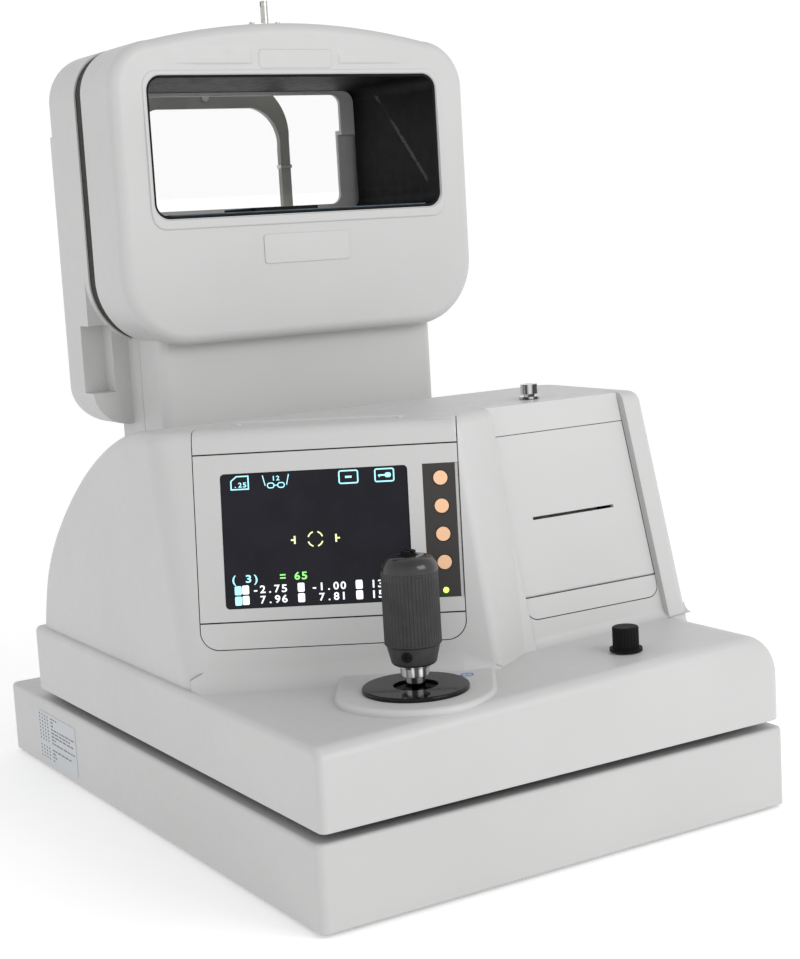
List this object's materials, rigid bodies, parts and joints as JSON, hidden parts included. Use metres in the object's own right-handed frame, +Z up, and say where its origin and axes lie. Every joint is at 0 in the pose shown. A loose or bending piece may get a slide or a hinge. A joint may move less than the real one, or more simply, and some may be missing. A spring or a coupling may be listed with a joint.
{
  "type": "autorefractor",
  "caption": "Open-field optical bench instrument with see-through measuring head, sliding stage with joystick, display, printer, forehead and chin rest.",
  "frame": {"origin": "centre of the base's underside on the floor plane", "axes": "+Z up, -Y toward the operator, +Y toward the patient, +X the operator's right"},
  "size_m": [0.3203, 0.4648, 0.5106],
  "materials": {
    "shell_white": "fine satin moulded texture",
    "panel_white": "fine satin moulded texture",
    "base_white": "fine satin moulded texture",
    "black_plastic": "matt",
    "black_gloss": "polished",
    "key_label": "satin film",
    "key_cap": "satin",
    "screen_glass": "anti-glare",
    "mirror_glass": "half-silvered",
    "lens_glass": "coated",
    "lamp": "lit",
    "grip_rubber": "ribbed",
    "foot_rubber": "matt",
    "chrome": "polished",
    "steel": "turned",
    "alloy": "milled",
    "arch_grey": "satin paint",
    "pad_soft": "soft foam skin",
    "board_green": "solder mask",
    "paper": "paper",
    "chin_white": "satin",
    "brass_gear": "cut",
    "seal_dark": "matt",
    "label_film": "printed film"
  },
  "bodies": {
    "base": {"base_cover": "base_white", "base_plate": "steel", "rubber_feet": "foot_rubber", "gear_racks": "brass_gear", "friction_plate": "black_plastic", "rear_sockets": "black_plastic", "rating_label": "label_film", "forehead_arch": "arch_grey", "forehead_pad": "pad_soft", "arch_fittings": "steel", "chin_column": "chin_white"},
    "power_rocker": {"power_switch": "black_gloss"},
    "carriage": {"axle_guides": "black_plastic"},
    "axle": {"cross_axle": "steel", "axle_pinions": "brass_gear"},
    "stage": {"body_cover": "shell_white", "display_bezel": "panel_white", "key_label": "key_label", "display_glass": "screen_glass", "lcd_module": "black_plastic", "power_lamp": "lamp", "printer_bezel": "panel_white", "printer_frame": "black_plastic", "joystick_disc": "black_gloss", "joystick_socket": "alloy", "chassis_plate": "alloy", "bearing_blocks": "steel", "main_board": "board_green", "power_supply": "alloy", "guide_rods": "steel", "lift_motor": "black_plastic"},
    "key_1": {"key_1": "key_cap"},
    "key_2": {"key_2": "key_cap"},
    "key_3": {"key_3": "key_cap"},
    "key_4": {"key_4": "key_cap"},
    "printer_door": {"printer_door": "panel_white"},
    "platen": {"platen_roller": "foot_rubber"},
    "paper": {"paper_roll": "paper"},
    "stick_gimbal": {"gimbal_ring": "steel"},
    "stick": {"joystick_shaft": "chrome"},
    "grip": {"joystick_grip": "grip_rubber", "grip_screw": "black_plastic"},
    "measure_button": {"joystick_button": "black_plastic"},
    "lock_knob": {"lock_knob": "black_plastic"},
    "thumb_screw": {"thumb_screw": "chrome"},
    "lift_screw": {"lift_screw": "steel"},
    "motor_pinion": {"motor_pinion": "brass_gear"},
    "head": {"head_front_shell": "shell_white", "head_rear_shell": "shell_white", "head_seam_gasket": "seal_dark", "tunnel_liner": "black_plastic", "half_mirror": "mirror_glass", "objective_hood": "black_plastic", "objective_lens": "lens_glass", "head_carriage": "alloy", "optical_bench": "black_plastic", "top_post": "steel", "blank_badge": "panel_white"},
    "chin_rest": {"chin_cup": "chin_white"},
    "chin_knob": {"chin_knob": "black_plastic"}
  },
  "joints": [
    {"name": "depth_slide", "type": "slide", "parent": "base", "child": "carriage", "axis": [0, 1, 0], "range_m": [-0.018, 0.018]},
    {"name": "axle_roll", "type": "hinge", "parent": "carriage", "child": "axle", "pos_m": [0, -0.02, 0.065], "axis": [1, 0, 0], "range_deg": [-130, 130]},
    {"name": "side_slide", "type": "slide", "parent": "carriage", "child": "stage", "axis": [1, 0, 0], "range_m": [-0.04, 0.04]},
    {"name": "head_lift", "type": "slide", "parent": "stage", "child": "head", "axis": [0, 0, 1], "range_m": [-0.015, 0.015]},
    {"name": "lift_screw_spin", "type": "hinge", "parent": "stage", "child": "lift_screw", "pos_m": [0, 0.068, 0.15], "axis": [0, 0, 1], "range_deg": [-1090, 1090]},
    {"name": "motor_spin", "type": "hinge", "parent": "stage", "child": "motor_pinion", "pos_m": [0.0225, 0.068, 0.1], "axis": [0, 0, 1], "range_deg": [-2180, 2180]},
    {"name": "stick_tilt_side", "type": "hinge", "parent": "stage", "child": "stick_gimbal", "pos_m": [-0.0664, -0.1796, 0.088], "axis": [1, 0, 0], "range_deg": [-10, 10]},
    {"name": "stick_tilt_depth", "type": "hinge", "parent": "stick_gimbal", "child": "stick", "pos_m": [-0.0664, -0.1796, 0.088], "axis": [0, 1, 0], "range_deg": [-10, 10]},
    {"name": "grip_twist", "type": "hinge", "parent": "stick", "child": "grip", "pos_m": [-0.0664, -0.1796, 0.15], "axis": [0, 0, 1], "range_deg": [-361, 361]},
    {"name": "measure_press", "type": "slide", "parent": "grip", "child": "measure_button", "axis": [0, 0, -1], "range_m": [0, 0.002], "stiffness_N_per_m": 400},
    {"name": "printer_door_hinge", "type": "hinge", "parent": "stage", "child": "printer_door", "pos_m": [0.0852, -0.14059, 0.13592], "axis": [1, 0, 0], "range_deg": [0, 75]},
    {"name": "platen_spin", "type": "hinge", "parent": "stage", "child": "platen", "pos_m": [0.0852, -0.11216, 0.19098], "axis": [1, 0, 0], "continuous": true},
    {"name": "paper_roll_spin", "type": "hinge", "parent": "stage", "child": "paper", "pos_m": [0.0852, -0.10224, 0.15601], "axis": [1, 0, 0], "continuous": true},
    {"name": "lock_knob_turn", "type": "hinge", "parent": "stage", "child": "lock_knob", "pos_m": [0.0667, -0.198, 0.11], "axis": [0, 0, 1], "range_deg": [0, 180]},
    {"name": "thumb_screw_turn", "type": "hinge", "parent": "stage", "child": "thumb_screw", "pos_m": [0.082, -0.092, 0.25], "axis": [0, 0, 1], "continuous": true},
    {"name": "chin_lift", "type": "slide", "parent": "base", "child": "chin_rest", "axis": [0, 0, 1], "range_m": [-0.03, 0.03]},
    {"name": "chin_knob_turn", "type": "hinge", "parent": "base", "child": "chin_knob", "pos_m": [0.03, 0.21, 0.19], "axis": [1, 0, 0], "range_deg": [-290, 290]},
    {"name": "power_switch_rock", "type": "hinge", "parent": "base", "child": "power_rocker", "pos_m": [-0.0785, 0.2233, 0.0245], "axis": [1, 0, 0], "range_deg": [-8, 8]},
    {"name": "key_1_press", "type": "slide", "parent": "stage", "child": "key_1", "axis": [0.5456, 0.8213, -0.1668], "range_m": [0, 0.0008], "stiffness_N_per_m": 300},
    {"name": "key_2_press", "type": "slide", "parent": "stage", "child": "key_2", "axis": [0.5456, 0.8213, -0.1668], "range_m": [0, 0.0008], "stiffness_N_per_m": 300},
    {"name": "key_3_press", "type": "slide", "parent": "stage", "child": "key_3", "axis": [0.5456, 0.8213, -0.1668], "range_m": [0, 0.0008], "stiffness_N_per_m": 300},
    {"name": "key_4_press", "type": "slide", "parent": "stage", "child": "key_4", "axis": [0.5456, 0.8213, -0.1668], "range_m": [0, 0.0008], "stiffness_N_per_m": 300}
  ],
  "couplings": [
    {"joint": "axle_roll", "follows": "depth_slide", "rad_per_m": -125},
    {"joint": "lift_screw_spin", "follows": "head_lift", "rad_per_m": 1256.6},
    {"joint": "motor_spin", "follows": "head_lift", "rad_per_m": -2513.3},
    {"joint": "grip_twist", "follows": "head_lift", "rad_per_m": 418.88},
    {"joint": "paper_roll_spin", "follows": "platen_spin", "ratio": -0.25},
    {"joint": "chin_knob_turn", "follows": "chin_lift", "rad_per_m": 166.67}
  ]
}
